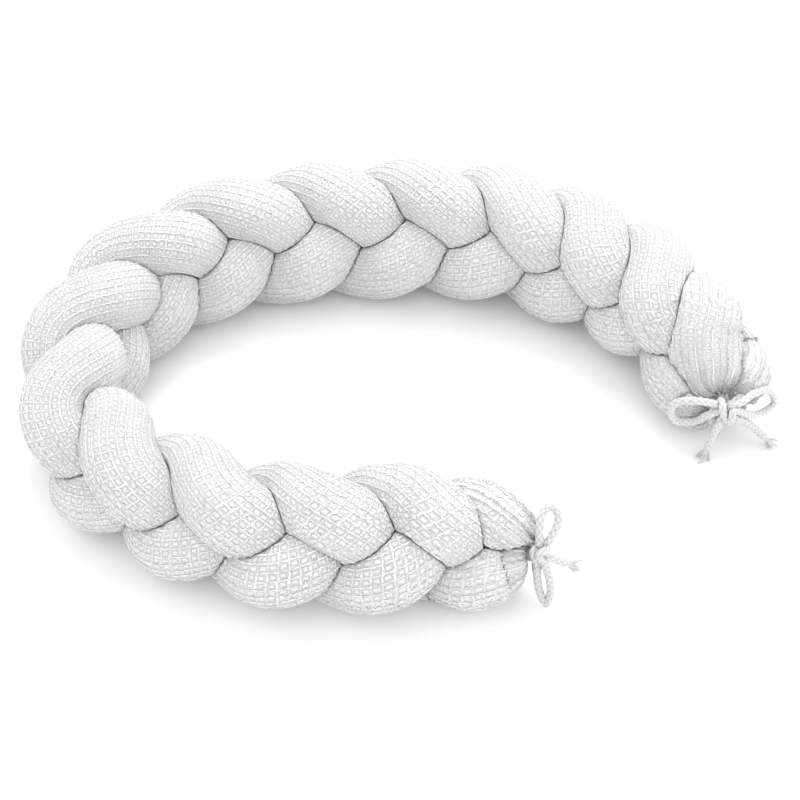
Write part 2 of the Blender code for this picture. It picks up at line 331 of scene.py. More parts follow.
def strand_middles(plait: Plait) -> list[np.ndarray]:
    """Work out the middle line of each strand.

    Args:
        plait: The plait.

    Returns:
        One line for each strand, weaving from edge to edge and over and under.
    """
    pitch = plait.size[:, 4] * MM
    steps = np.diff(plait.distance) * 2.0 / (pitch[1:] + pitch[:-1])
    bulges = np.concatenate([[0.0], np.cumsum(steps)])
    bulges -= np.interp(FIRST_BULGE, plait.distance, bulges)
    woven = np.clip(from_nearer_end(plait) / UNWEAVE_LENGTH, 0.0, 1.0)
    share = DRAWN_IN + (1.0 - DRAWN_IN) * woven * woven * (3.0 - 2.0 * woven)
    lines = []
    for strand in range(STRAND_COUNT):
        phase = TURN * (0.25 + (bulges + strand) / STRAND_COUNT)
        swing = plait.size[:, 5] * MM * share * np.sin(phase)
        lift = plait.size[:, 6] * MM * share * np.sin(2.0 * phase)
        lines.append(plait.middle + swing[:, None] * plait.across + lift[:, None] * plait.front)
    return lines


def pulled_aside(plait: Plait, lines: list[np.ndarray]) -> list[np.ndarray]:
    """Bring the last bulges of each strand round to the knots.

    Args:
        plait: The plait.
        lines: The strands' middle lines.

    Returns:
        The lines, pulled aside near both ends.
    """
    from_far = plait.distance / MM
    moved = [line.copy() for line in lines]
    for far, table, distance in ((True, FAR_PULLS, from_far), (False, NEAR_PULLS, from_far[-1] - from_far)):
        end = end_frame(plait, far)
        near = distance < PULL_LENGTH
        for line, pulls in zip(moved, table):
            still = [Pull(PULL_LENGTH, 0, 0, 0), Pull(PULL_LENGTH + PULL_MARGIN, 0, 0, 0)]
            rows = np.array([*pulls, *still], dtype=float)
            out, across, up = smooth_rows(rows[:, 0], rows[:, 1:], distance[near]).T * MM
            line[near] += out[:, None] * end.out + across[:, None] * end.across + up[:, None] * UP
    return moved


def soft_minimum(first: np.ndarray, second: np.ndarray, rounding: float) -> np.ndarray:
    """Take the smaller of two lengths, with the change from one to the other rounded.

    Args:
        first: Lengths.
        second: Other lengths.
        rounding: How far apart they are where the rounding starts.

    Returns:
        The smaller lengths.
    """
    share = np.clip(0.5 + 0.5 * (second - first) / rounding, 0.0, 1.0)
    return second * (1.0 - share) + first * share - rounding * share * (1.0 - share)


def meeting(middle: np.ndarray, rays: np.ndarray, others: np.ndarray, gap: float) -> np.ndarray:
    """Work out how far each ray goes before it meets a neighbouring tube halfway.

    Args:
        middle: Where the rays start.
        rays: Their directions.
        others: Points on the neighbours' middle lines.
        gap: Half the gap to leave.

    Returns:
        One length for each ray.
    """
    offset = others - middle
    offset = offset[np.einsum("ij,ij->i", offset, offset) < SEARCH_REACH**2]
    if not len(offset):
        return np.full(len(rays), SEARCH_REACH)
    top = np.einsum("ij,ij->i", offset, offset) - gap**2
    bottom = 2.0 * (rays @ offset.T + gap)
    reach = np.where(bottom > 1e-9, top / np.maximum(bottom, 1e-9), SEARCH_REACH)
    return reach.min(axis=1)


def eased(points: np.ndarray, width: float) -> np.ndarray:
    """Ease the bends of a line of points.

    Args:
        points: The points.
        width: Over how many points each is averaged.

    Returns:
        The eased line.
    """
    reach = round(5 * width)
    weight = np.exp(-0.5 * (np.arange(-reach, reach + 1) / width) ** 2)
    weight /= weight.sum()
    padded = np.pad(points, ((reach, reach), (0, 0)), mode="reflect", reflect_type="odd")
    return np.stack([np.convolve(padded[:, axis], weight, "valid") for axis in range(3)], axis=1)


def grid_mesh(name: str, grid: np.ndarray, across: np.ndarray, ahead: np.ndarray) -> bpy.types.Mesh:
    """Make a closed tube from rings of points, with a UV map in whole cells.

    Args:
        name: The mesh's name.
        grid: Points, one ring in each row.
        across: Where each line along the tube lies in the pattern, with one more for the closing line.
        ahead: Where each ring lies in the pattern.

    Returns:
        The mesh, with a fan over each end.
    """
    rings, sides, _ = grid.shape
    points = np.concatenate([grid.reshape(-1, 3), grid[:1].mean(axis=1), grid[-1:].mean(axis=1)])
    i, j = np.meshgrid(np.arange(rings - 1), np.arange(sides), indexing="ij")
    i, j = i.ravel(), j.ravel()
    k = (j + 1) % sides
    quads = np.stack([i * sides + j, i * sides + k, (i + 1) * sides + k, (i + 1) * sides + j], axis=1)
    u = across[np.stack([j, j + 1, j + 1, j], axis=1)]
    v = ahead[np.stack([i, i, i + 1, i + 1], axis=1)]
    edge = np.arange(sides)
    after = (edge + 1) % sides
    first = np.stack([np.full(sides, rings * sides), after, edge], axis=1)
    last_ring = (rings - 1) * sides
    last = np.stack([np.full(sides, rings * sides + 1), last_ring + edge, last_ring + after], axis=1)
    loops = np.concatenate([quads.ravel(), first.ravel(), last.ravel()])
    mesh = bpy.data.meshes.new(name)
    mesh.vertices.add(len(points))
    mesh.vertices.foreach_set("co", points.astype(np.float32).ravel())
    mesh.loops.add(len(loops))
    mesh.loops.foreach_set("vertex_index", loops.astype(np.int32))
    starts = np.concatenate([np.arange(len(quads)) * 4, len(quads) * 4 + np.arange(2 * sides) * 3])
    mesh.polygons.add(len(starts))
    mesh.polygons.foreach_set("loop_start", starts.astype(np.int32))
    mesh.update(calc_edges=True)
    uv = np.stack([u.ravel(), v.ravel()], axis=1)
    caps = np.tile([[0.0, 0.0]], (6 * sides, 1))
    layer = mesh.uv_layers.new(name="cloth")
    layer.data.foreach_set("uv", np.concatenate([uv, caps]).astype(np.float32).ravel())
    mesh.shade_smooth()
    return mesh


def shown(name: str, mesh: bpy.types.Mesh, material: bpy.types.Material) -> bpy.types.Object:
    """Put a mesh in the scene.

    Args:
        name: The object's name.
        mesh: Its mesh.
        material: Its material.

    Returns:
        The object.
    """
    mesh.materials.append(material)
    thing = bpy.data.objects.new(name, mesh)
    bpy.context.scene.collection.objects.link(thing)
    return thing


# ---------------------------------------------------------------- shader groups and finishes


class Graph:
    """A node tree that is written in a few short calls."""

    def __init__(self, tree: bpy.types.NodeTree) -> None:
        """Hold a node tree.

        Args:
            tree: The tree to add to.
        """
        self.tree = tree

    def node(self, kind: str, **settings: object) -> bpy.types.Node:
        """Add a node.

        Args:
            kind: The node's type name.
            settings: Its properties.

        Returns:
            The node.
        """
        node = self.tree.nodes.new(kind)
        for key, value in settings.items():
            setattr(node, key, value)
        return node

    def feed(self, target: bpy.types.NodeSocket, value: object) -> None:
        """Link a socket to another, or set its value.

        Args:
            target: The input.
            value: An output socket or a plain value.
        """
        if isinstance(value, bpy.types.NodeSocket):
            self.tree.links.new(value, target)
        else:
            target.default_value = value

    def math(self, operation: str, *values: object) -> bpy.types.NodeSocket:
        """Add a Math node.

        Args:
            operation: Its operation.
            values: Its inputs.

        Returns:
            Its result.
        """
        node = self.node("ShaderNodeMath", operation=operation)
        for target, value in zip(node.inputs, values):
            self.feed(target, value)
        return node.outputs[0]

    def ramp(
        self, value: object, low: float, high: float, to_low: float, to_high: float
    ) -> bpy.types.NodeSocket:
        """Add a smooth Map Range node.

        Args:
            value: What it reads.
            low: The value that becomes to_low.
            high: The value that becomes to_high.
            to_low: The result at low.
            to_high: The result at high.

        Returns:
            Its result.
        """
        node = self.node("ShaderNodeMapRange", interpolation_type="SMOOTHSTEP")
        names = ("Value", "From Min", "From Max", "To Min", "To Max")
        for name, given in zip(names, (value, low, high, to_low, to_high)):
            self.feed(node.inputs[name], given)
        return node.outputs[0]

    def noise(self, place: bpy.types.NodeSocket, scale: float, detail: float = 2.0) -> bpy.types.NodeSocket:
        """Add a Noise node.

        Args:
            place: Where it is read.
            scale: Its scale.
            detail: Its detail.

        Returns:
            Its value.
        """
        node = self.node("ShaderNodeTexNoise")
        self.feed(node.inputs["Vector"], place)
        node.inputs["Scale"].default_value = scale
        node.inputs["Detail"].default_value = detail
        return node.outputs["Fac"]

    def blend(self, share: object, first: object, second: object) -> bpy.types.NodeSocket:
        """Add a colour Mix node.

        Args:
            share: How much of the second colour shows.
            first: The first colour.
            second: The second colour.

        Returns:
            The mixed colour.
        """
        node = self.node("ShaderNodeMix", data_type="RGBA")
        self.feed(node.inputs[0], share)
        self.feed(node.inputs[6], first)
        self.feed(node.inputs[7], second)
        return node.outputs[2]

    def bump(
        self, height: object, strength: float, distance: float, under: object = None
    ) -> bpy.types.NodeSocket:
        """Add a Bump node.

        Args:
            height: The height that it reads.
            strength: How much of it shows.
            distance: How much a height of one is, in metres.
            under: The normal that it starts from, where that is a bumped one too.

        Returns:
            The bumped normal.
        """
        node = self.node("ShaderNodeBump")
        node.inputs["Strength"].default_value = strength
        node.inputs["Distance"].default_value = distance
        self.feed(node.inputs["Height"], height)
        if under is not None:
            self.feed(node.inputs["Normal"], under)
        return node.outputs[0]

    def fine(self, lint: bpy.types.NodeTree) -> bpy.types.Node:
        """Add the group of fine unevenness, read at the object's own places.

        Args:
            lint: The group.

        Returns:
            Its node.
        """
        node = self.node("ShaderNodeGroup", node_tree=lint)
        self.feed(node.inputs["Place"], self.node("ShaderNodeTexCoord").outputs["Object"])
        return node


def new_material(name: str) -> tuple[bpy.types.Material, Graph, bpy.types.Node]:
    """Start a material.

    Args:
        name: Its name.

    Returns:
        The material, its graph and its shader.
    """
    material = bpy.data.materials.new(name)
    material.use_nodes = True
    return material, Graph(material.node_tree), material.node_tree.nodes["Principled BSDF"]


def dull(shader: bpy.types.Node, roughness: float, down: float) -> None:
    """Give a shader the dull, slightly downy surface of cotton.

    Args:
        shader: The shader.
        roughness: Its roughness.
        down: How widely its down scatters light.
    """
    shader.inputs["Roughness"].default_value = roughness
    shader.inputs["Sheen Weight"].default_value = 0.25
    shader.inputs["Sheen Roughness"].default_value = down
    shader.inputs["Specular IOR Level"].default_value = 0.2


def new_group(
    name: str, inputs: dict[str, str], outputs: dict[str, str]
) -> tuple[Graph, bpy.types.Node, bpy.types.Node]:
    """Start a shader node group with named sockets.

    Args:
        name: The group's name.
        inputs: The type of each input socket.
        outputs: The type of each output socket.

    Returns:
        Its graph, its input node and its output node.
    """
    tree = bpy.data.node_groups.new(name, "ShaderNodeTree")
    for socket, kind in inputs.items():
        tree.interface.new_socket(socket, in_out="INPUT", socket_type=kind)
    for socket, kind in outputs.items():
        tree.interface.new_socket(socket, in_out="OUTPUT", socket_type=kind)
    graph = Graph(tree)
    return graph, graph.node("NodeGroupInput"), graph.node("NodeGroupOutput")


def lint_group() -> bpy.types.NodeTree:
    """Make the fine unevenness that all the cotton here has.

    Returns:
        A group that takes a place in metres and gives a height, a shade and its clumps, all from 0 to 1.
    """
    graph, start, end = new_group(
        "cotton_lint",
        {"Place": "NodeSocketVector"},
        {"Height": "NodeSocketFloat", "Shade": "NodeSocketFloat", "Clump": "NodeSocketFloat"},
    )
    place = start.outputs["Place"]
    fuzz = graph.noise(place, 1700.0, 3.0)
    clump = graph.noise(place, 420.0)
    patch = graph.noise(place, 26.0)
    height = graph.math("ADD", graph.math("MULTIPLY", fuzz, 0.6), graph.math("MULTIPLY", clump, 0.4))
    shade = graph.math("ADD", graph.math("MULTIPLY", clump, 0.5), graph.math("MULTIPLY", patch, 0.5))
    graph.feed(end.inputs["Height"], height)
    graph.feed(end.inputs["Shade"], shade)
    graph.feed(end.inputs["Clump"], clump)
    return graph.tree


@dataclass(frozen=True)
class ClothFinish:
    """White waffle-weave cotton, with painted shade in its cells.

    Attributes:
        ridge: Colour of the raised lines.
        painted_pit_shade: Painted shade down in the cells: the colour that the cloth takes where it lies
            lowest.
        line: Where a raised line begins to fall off and where it ends, in cells from its middle.
        bar_height: Height of the lines that cross a tube, where those along it are 1.
        tuft_height: Height of the tuft in the middle of a cell.
        yarns: Yarns to a cell each way.
        wander: How far the lines stray, in cells, over the range of the clumps.
        closed: How far the lines across a tube fade where the cloth is drawn in.
        paler: How much of the painted shade in the pits is lost there.
        roughness: Roughness of the cloth.
    """

    ridge: tuple[float, float, float, float] = (0.87, 0.867, 0.86, 1.0)
    painted_pit_shade: tuple[float, float, float, float] = (0.57, 0.565, 0.556, 1.0)
    line: tuple[float, float] = (0.05, 0.17)
    bar_height: float = 0.6
    tuft_height: float = 0.55
    yarns: float = 6.0
    wander: float = 0.5
    closed: float = 0.7
    paler: float = 0.3
    roughness: float = 0.92

    def material(self, lint: bpy.types.NodeTree) -> bpy.types.Material:
        """Build the material.

        Args:
            lint: The group of fine unevenness.

        Returns:
            The material.
        """
        material, graph, shader = new_material("waffle_cotton")
        cell = graph.node("ShaderNodeSeparateXYZ")
        graph.feed(cell.inputs[0], graph.node("ShaderNodeTexCoord").outputs["UV"])
        fine = graph.fine(lint)
        wander = graph.math("MULTIPLY", graph.math("SUBTRACT", fine.outputs["Clump"], 0.5), self.wander)
        round_cell = graph.math("PINGPONG", graph.math("ADD", cell.outputs["X"], wander), 0.5)
        slanted = graph.math("ADD", cell.outputs["Y"], graph.math("MULTIPLY", cell.outputs["X"], SLANT))
        long_cell = graph.math("PINGPONG", graph.math("ADD", slanted, wander), 0.5)
        rib = graph.ramp(round_cell, *self.line, 1.0, 0.0)
        drawn = graph.node("ShaderNodeAttribute", attribute_name=GATHER_LAYER).outputs["Fac"]
        open_cell = graph.math("SUBTRACT", 1.0, graph.math("MULTIPLY", drawn, self.closed))
        bar = graph.math("MULTIPLY", graph.ramp(long_cell, *self.line, self.bar_height, 0.0), open_cell)
        tuft_round = graph.ramp(round_cell, 0.2, 0.38, 0.0, self.tuft_height)
        tuft = graph.math("MULTIPLY", tuft_round, graph.ramp(long_cell, 0.15, 0.3, 0.0, 1.0))
        height = graph.math("MAXIMUM", graph.math("MAXIMUM", rib, bar), tuft)
        warp = graph.math("SINE", graph.math("MULTIPLY", cell.outputs["X"], TURN * self.yarns))
        weft = graph.math("SINE", graph.math("MULTIPLY", cell.outputs["Y"], TURN * self.yarns))
        yarn = graph.math("MULTIPLY", warp, weft)
        # Painted shade: the lower the cloth lies in a cell, the more of the darker pit colour it takes. The
        # lint's random tone varies this, and it is lessened where the cloth is drawn in.
        pit_shade_mask = graph.math("MAXIMUM", graph.math("SUBTRACT", 1.0, height), 0.0)
        shade = graph.math("MULTIPLY", pit_shade_mask, graph.ramp(fine.outputs["Shade"], 0.3, 0.7, 0.6, 1.0))
        pale = graph.math("SUBTRACT", 1.0, graph.math("MULTIPLY", drawn, self.paler))
        shade = graph.math("MULTIPLY", shade, pale)
        graph.feed(shader.inputs["Base Color"], graph.blend(shade, self.ridge, self.painted_pit_shade))
        weave = graph.bump(height, 1.0, 1.8 * MM)
        yarns = graph.bump(yarn, 0.7, 0.12 * MM, weave)
        graph.feed(shader.inputs["Normal"], graph.bump(fine.outputs["Height"], 0.5, 0.2 * MM, yarns))
        dull(shader, self.roughness, 0.6)
        return material


@dataclass(frozen=True)
class CordFinish:
    """White braided cotton cord, with painted shade in the grooves of its braid.

    Attributes:
        crown: Colour of the braid's crowns.
        groove_shade: Painted shade between its strands.
        roughness: Roughness of the cord.
    """

    crown: tuple[float, float, float, float] = (0.64, 0.637, 0.63, 1.0)
    groove_shade: tuple[float, float, float, float] = (0.44, 0.436, 0.43, 1.0)
    roughness: float = 0.9

    def material(self, lint: bpy.types.NodeTree) -> bpy.types.Material:
        """Build the material.

        Args:
            lint: The group of fine unevenness.

        Returns:
            The material.
        """
        material, graph, shader = new_material("cotton_cord")
        place = graph.node("ShaderNodeSeparateXYZ")
        graph.feed(place.inputs[0], graph.node("ShaderNodeTexCoord").outputs["UV"])
        turn = graph.math("MULTIPLY", place.outputs["X"], math.pi)
        run = graph.math("MULTIPLY", place.outputs["Y"], math.pi)
        one = graph.math("SINE", graph.math("ADD", turn, run))
        other = graph.math("SINE", graph.math("SUBTRACT", turn, run))
        over = graph.ramp(graph.math("MULTIPLY", one, other), -0.15, 0.15, 0.0, 1.0)
        first = graph.math("MULTIPLY", graph.math("ABSOLUTE", one), over)
        second = graph.math("MULTIPLY", graph.math("ABSOLUTE", other), graph.math("SUBTRACT", 1.0, over))
        height = graph.math("ADD", first, second)
        # Painted shade: the colour darkens down in the grooves between the braid's strands.
        groove_shade = graph.ramp(height, 0.1, 0.75, 1.0, 0.0)
        graph.feed(shader.inputs["Base Color"], graph.blend(groove_shade, self.crown, self.groove_shade))
        fuzz = graph.bump(graph.fine(lint).outputs["Height"], 0.6, 0.25 * MM)
        graph.feed(shader.inputs["Normal"], fuzz)
        dull(shader, self.roughness, 0.6)
        return material


@dataclass(frozen=True)
class YarnFinish:
    """The loose white yarns that the cord is braided from.

    Attributes:
        light: Their colour.
        dark: Their colour in between.
        roughness: Their roughness.
    """

    light: tuple[float, float, float, float] = (0.74, 0.737, 0.73, 1.0)
    dark: tuple[float, float, float, float] = (0.60, 0.596, 0.59, 1.0)
    roughness: float = 0.9

    def material(self, lint: bpy.types.NodeTree) -> bpy.types.Material:
        """Build the material.

        Args:
            lint: The group of fine unevenness.

        Returns:
            The material.
        """
        material, graph, shader = new_material("cotton_yarn")
        fine = graph.fine(lint)
        shade = graph.ramp(fine.outputs["Clump"], 0.35, 0.65, 0.0, 1.0)
        graph.feed(shader.inputs["Base Color"], graph.blend(shade, self.light, self.dark))
        graph.feed(shader.inputs["Normal"], graph.bump(fine.outputs["Height"], 0.5, 0.15 * MM))
        dull(shader, self.roughness, 0.5)
        return material


@dataclass(frozen=True)
class FloorFinish:
    """A plain white studio floor.

    Attributes:
        colour: Its colour.
        roughness: Its roughness.
    """

    colour: tuple[float, float, float, float] = (0.94, 0.94, 0.94, 1.0)
    roughness: float = 0.9

    def material(self) -> bpy.types.Material:
        """Build the material.

        Returns:
            The material.
        """
        material, _, shader = new_material("studio_floor")
        shader.inputs["Base Color"].default_value = self.colour
        shader.inputs["Roughness"].default_value = self.roughness
        shader.inputs["Specular IOR Level"].default_value = 0.1
        return material


# ---------------------------------------------------------------- the stuffed tubes


class Skin(NamedTuple):
    """A tube's smooth surface, before its weave is raised.

    Attributes:
        grid: Points, one ring in each row.
        free: How free each point is of the other tubes, which press the cells flat.
        ahead: Where each ring lies in cells.
        drawn: How far the cloth at each point is drawn into long ribs.
    """

    grid: np.ndarray
    free: np.ndarray
    ahead: np.ndarray
    drawn: np.ndarray


@dataclass
class Strands:
    """The three stuffed tubes of the plait.

    Attributes:
        plait: The plait that they follow.
        material: The cloth.
        cells_round: Waffle cells round a tube.
        cell_length: Length of a cell along a tube.
        foot: How far from a ridge the floor of its cells begins, as a share of a cell.
        gap: Gap between two tubes.
        rounding: How far the edge of a pressed place is rounded.
        relief: Depth of a cell below its ridges.
        flattened: How near another tube the cells begin to be pressed flat.
        twist: How far the cloth winds round the stuffing, in radians for each metre.
        bar_height: Height of the ridges that cross the tube, as a share of those that run along it.
        pleats: Pleats round a gathered end.
        pleat_depth: Their depth at the neck.
        pleat_wander: How unevenly they lie, in radians of their pattern.
        fullness: How square the shoulder of a gathered end is; 2 is an ellipse.
        drawn_length: How far from the neck the cloth is drawn into long ribs.
        low_drawn: How far it is drawn so on the lower half of a tube.
        low_from: How far up the cloth faces, where straight up is 1, where that begins.
        low_to: How far up it faces where that is complete.
        closed: How far the ridges across a tube fade where the cloth is drawn so.
        raised: How much deeper the cells are there.
        pressed_relief: Share of the cells' depth that is left where two tubes press on each other.
        narrow_relief: Smallest share that is left where the cells are drawn narrow.
        lump: Height of the slow lumps of the stuffing.
        dimple: Height of its quick ones.
    """

    plait: Plait
    material: bpy.types.Material
    cells_round: int = CELLS_ROUND
    cell_length: float = 4.8 * MM
    foot: float = 0.25
    gap: float = 0.3 * MM
    rounding: float = 2.0 * MM
    relief: float = 1.5 * MM
    flattened: float = 3.0 * MM
    twist: float = 8.0
    bar_height: float = 0.65
    pleats: int = 17
    pleat_depth: float = 3.6 * MM
    pleat_wander: float = 0.5
    fullness: float = 2.6
    drawn_length: float = 110 * MM
    low_drawn: float = 0.6
    low_from: float = 0.6
    low_to: float = 0.0
    closed: float = 0.8
    raised: float = 0.8
    pressed_relief: float = 0.2
    narrow_relief: float = 0.3
    lump: float = 0.6 * MM
    dimple: float = 0.25 * MM

    def free_radius(self) -> np.ndarray:
        """Work out a tube's radius where nothing presses on it.

        Returns:
            One radius for each sample of the plait, rounding off into the neck at each end.
        """
        inside = np.clip((from_nearer_end(self.plait) - NECK_LENGTH) / GATHER_LENGTH, 0.0, 1.0)
        dome = (1.0 - (1.0 - inside) ** self.fullness) ** (1.0 / self.fullness)
        return NECK_RADIUS + (self.plait.size[:, 7] * MM - NECK_RADIUS) * dome

    def mesh_lines(self, cells: int) -> np.ndarray:
        """Place the mesh lines of a run of cells: one on each ridge and one at each side of each floor.

        Args:
            cells: How many cells.

        Returns:
            The places in cells, with the closing line.
        """
        lines = np.arange(cells)[:, None] + np.array([0.0, self.foot, 1.0 - self.foot])
        return np.append(lines.ravel(), cells)

    def surface(self, lines: list[np.ndarray], strand: int) -> Skin:
        """Work out one tube's smooth surface, before its weave is raised.

        Args:
            lines: The middle line of each tube.
            strand: Which tube.

        Returns:
            The surface.
        """
        line = lines[strand]
        length = along(line)
        cells = round(length[-1] / self.cell_length)
        ahead = self.mesh_lines(cells)
        even = length[-1] * ahead / cells
        middles = np.stack([np.interp(even, length, line[:, axis]) for axis in range(3)], axis=1)
        radius = np.interp(even, length, self.free_radius())
        end_share = np.interp(even, length, from_nearer_end(self.plait))
        side, other_side = carried_frames(middles, UP)
        angle = TURN * self.mesh_lines(self.cells_round)[:-1] / self.cells_round
        turned = (angle[None, :] + self.twist * even[:, None])[..., None]
        rays = np.cos(turned) * side[:, None] + np.sin(turned) * other_side[:, None]
        others = np.concatenate([lines[k][::SEARCH_STEP] for k in range(STRAND_COUNT) if k != strand])
        pressed = np.stack([meeting(m, r, others, self.gap) for m, r in zip(middles, rays)])
        lumps = self.lumps(even, angle, strand)
        gathered = np.clip(1.0 - (end_share - NECK_LENGTH) / GATHER_LENGTH, 0.0, 1.0)
        wander = self.pleat_wander * np.sin(3.0 * angle + 1.9 * strand)
        crease = 1.0 - np.abs(np.sin(0.5 * self.pleats * angle + wander))
        pleats = self.pleat_depth * gathered[:, None] * crease[None, :] ** 1.5
        reach = soft_minimum(radius[:, None] + lumps - pleats, pressed, self.rounding)
        down = np.maximum(-rays[..., 2], 1e-6)
        reach = np.minimum(reach, middles[:, None, 2] / down)
        grid = middles[:, None] + reach[..., None] * rays
        grid[..., 2] = np.maximum(grid[..., 2], 0.0)
        free = np.clip((pressed - reach) / self.flattened, 0.0, 1.0)
        at_end = np.clip(1.0 - (end_share - NECK_LENGTH) / self.drawn_length, 0.0, 1.0)
        facing_down = np.clip((self.low_from - rays[..., 2]) / (self.low_from - self.low_to), 0.0, 1.0)
        drawn = np.maximum(at_end[:, None], self.low_drawn * facing_down)
        return Skin(grid, free, ahead, drawn * drawn * (3.0 - 2.0 * drawn))

    def lumps(self, even: np.ndarray, angle: np.ndarray, strand: int) -> np.ndarray:
        """Work out the slight unevenness of the stuffing.

        Args:
            even: Places along the tube.
            angle: Angles round it.
            strand: Which tube.

        Returns:
            How far each point stands out or in.
        """
        s, a = even[:, None], angle[None, :]
        slow = np.sin(TURN * s / 0.083 + 2.0 * a + 1.3 * strand) * np.cos(a - TURN * s / 0.31)
        quick = np.sin(TURN * s / 0.047 - 3.0 * a + 2.1 * strand)
        return self.lump * slow + self.dimple * quick

    def woven(self, skin: Skin) -> np.ndarray:
        """Sink the waffle cells into a smooth surface.

        Args:
            skin: The surface.

        Returns:
            The rings, with every ridge left in place and every cell sunk.
        """
        grid = skin.grid
        sides = grid.shape[1]
        onward = np.gradient(grid, axis=0)
        round_way = np.roll(grid, -1, axis=1) - np.roll(grid, 1, axis=1)
        outward = unit(np.cross(round_way, onward))
        rib = (np.arange(sides) % LINES_TO_A_CELL == 0).astype(float)
        place = skin.ahead[:, None] + SLANT * self.mesh_lines(self.cells_round)[None, :-1]
        bar = 0.5 + 0.5 * np.cos(TURN * place)
        drawn = skin.drawn
        ridge = np.maximum(rib[None, :], self.bar_height * bar * (1.0 - self.closed * drawn))
        width = np.linalg.norm(round_way, axis=-1) * LINES_TO_A_CELL / 2.0
        depth = self.relief * np.clip(width / self.cell_length, self.narrow_relief, 1.0)
        depth = depth * (self.pressed_relief + (1.0 - self.pressed_relief) * skin.free)
        depth = depth * (1.0 + self.raised * drawn)
        sunk = grid - ((1.0 - ridge) * depth)[..., None] * outward
        sunk[..., 2] = np.maximum(sunk[..., 2], 0.0)
        return sunk

    def build(self) -> list[bpy.types.Object]:
        """Make the three tubes.

        Returns:
            The pieces.
        """
        lines = pulled_aside(self.plait, strand_middles(self.plait))
        pieces = []
        for strand, node in enumerate((Node.STRAND_1, Node.STRAND_2, Node.STRAND_3)):
            skin = self.surface(lines, strand)
            across = self.mesh_lines(self.cells_round)
            mesh = grid_mesh(f"tube_{strand + 1}", self.woven(skin), across, skin.ahead)
            layer = mesh.attributes.new(GATHER_LAYER, "FLOAT", "POINT")
            layer.data.foreach_set("value", np.append(skin.drawn.ravel(), [1.0, 1.0]).astype(np.float32))
            piece = shown(f"waffle_tube_{strand + 1}", mesh, self.material)
            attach(piece, BODY)
            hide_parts(node.value)
            pieces.append(piece)
        return pieces


# ---------------------------------------------------------------- the bows


